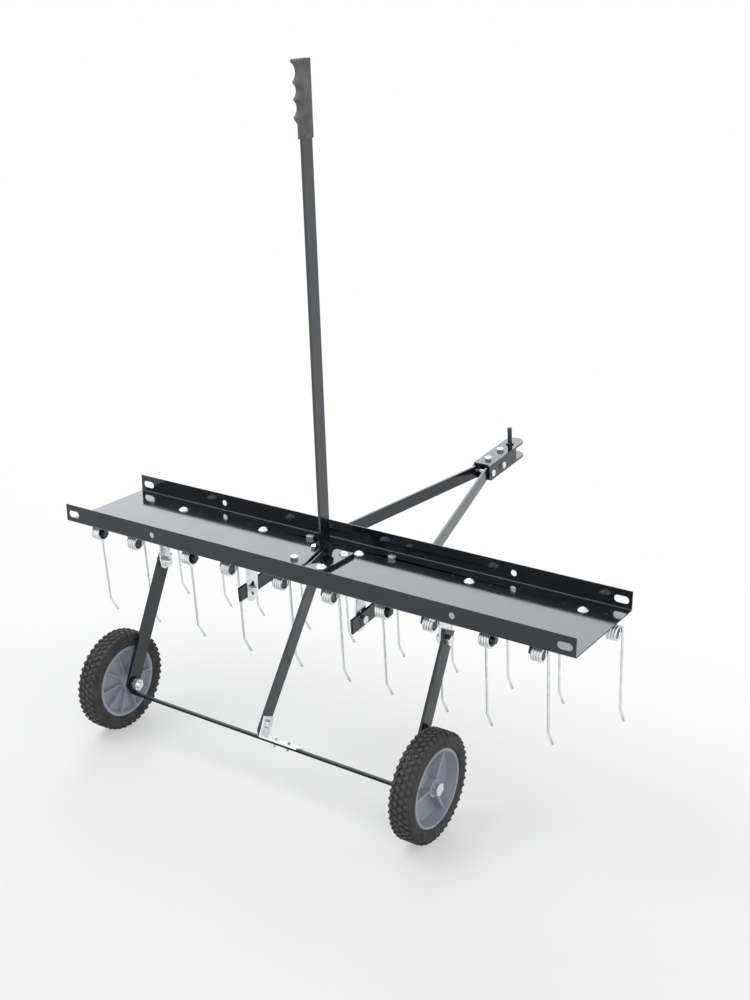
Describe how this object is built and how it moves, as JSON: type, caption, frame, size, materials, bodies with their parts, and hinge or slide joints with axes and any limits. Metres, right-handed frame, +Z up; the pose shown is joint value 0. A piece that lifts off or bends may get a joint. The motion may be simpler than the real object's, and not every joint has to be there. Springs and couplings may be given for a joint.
{
  "type": "tow-behind spring-tine lawn rake",
  "caption": "Tow-behind spring-tine lawn rake with a black weight tray, wire tines, two small wheels on a swinging frame, a tall lift lever and a drawbar hitch.",
  "frame": {"origin": "on the ground, in the middle of the footprint", "axes": "+X to the right seen from behind, +Y forward to the hitch, +Z up"},
  "size_m": [1.016, 0.9404, 1.1384],
  "materials": {
    "black_paint": "semi-gloss",
    "zinc_steel": "bright zinc plate",
    "spring_wire": "bright zinc plate",
    "grey_plastic": "satin",
    "black_rubber": "matt",
    "black_grip": "matt"
  },
  "bodies": {
    "chassis": {"tray": "black_paint", "lever_bracket_left": "black_paint", "lever_bracket_right": "black_paint", "drawbar_left": "black_paint", "drawbar_right": "black_paint", "hitch_bracket_upper": "black_paint", "hitch_bracket_lower": "black_paint", "tine_holders_front": "black_paint", "tine_holders_rear": "black_paint", "lever_pivot_bolt": "zinc_steel", "lever_bracket_bolts": "zinc_steel", "strut_bracket_left": "zinc_steel", "strut_bracket_right": "zinc_steel", "strut_pivot_bolts": "zinc_steel", "strut_bracket_bolts": "zinc_steel", "front_hanger_left": "zinc_steel", "front_hanger_right": "zinc_steel", "rear_hanger_left": "zinc_steel", "rear_hanger_right": "zinc_steel", "hanger_bolts": "zinc_steel", "hitch_bolts": "zinc_steel", "tine_bolts": "zinc_steel", "tine_front_1": "spring_wire", "tine_front_2": "spring_wire", "tine_front_3": "spring_wire", "tine_front_4": "spring_wire", "tine_front_5": "spring_wire", "tine_front_6": "spring_wire", "tine_front_7": "spring_wire", "tine_front_8": "spring_wire", "tine_front_9": "spring_wire", "tine_front_10": "spring_wire", "tine_rear_1": "spring_wire", "tine_rear_2": "spring_wire", "tine_rear_3": "spring_wire", "tine_rear_4": "spring_wire", "tine_rear_5": "spring_wire", "tine_rear_6": "spring_wire", "tine_rear_7": "spring_wire", "tine_rear_8": "spring_wire", "tine_rear_9": "spring_wire", "tine_rear_10": "spring_wire"},
    "lift_lever": {"lever": "black_paint", "grip": "black_grip"},
    "wheel_frame": {"strut_left": "black_paint", "strut_right": "black_paint", "cross_bar": "black_paint", "link_bracket": "zinc_steel", "link_bracket_bolts": "zinc_steel", "link_bolt": "zinc_steel", "axle_bolt_left": "zinc_steel", "axle_bolt_right": "zinc_steel"},
    "wheel_left": {"rim_left": "grey_plastic", "tyre_left": "black_rubber"},
    "wheel_right": {"rim_right": "grey_plastic", "tyre_right": "black_rubber"},
    "pin": {"hitch_pin": "zinc_steel"}
  },
  "joints": [
    {"name": "wheel_frame_swing", "type": "hinge", "parent": "chassis", "child": "wheel_frame", "pos_m": [-0.014, -0.28526, 0.28921], "axis": [-1, 0, 0], "range_deg": [0, 50]},
    {"name": "lever_swing", "type": "hinge", "parent": "chassis", "child": "lift_lever", "pos_m": [-0.013, -0.20126, 0.35071], "axis": [-1, 0, 0], "range_deg": [0, 34]},
    {"name": "wheel_left_spin", "type": "hinge", "parent": "wheel_frame", "child": "wheel_left", "pos_m": [-0.3339, -0.38119, 0.089], "axis": [-1, 0, 0], "continuous": true},
    {"name": "wheel_right_spin", "type": "hinge", "parent": "wheel_frame", "child": "wheel_right", "pos_m": [0.3059, -0.38119, 0.089], "axis": [-1, 0, 0], "continuous": true},
    {"name": "hitch_pin_lift", "type": "slide", "parent": "chassis", "child": "pin", "axis": [0, -0.1045, 0.9945], "range_m": [0, 0.06]}
  ],
  "couplings": [
    {"joint": "lever_swing", "follows": "wheel_frame_swing", "ratio": 0.6748}
  ]
}
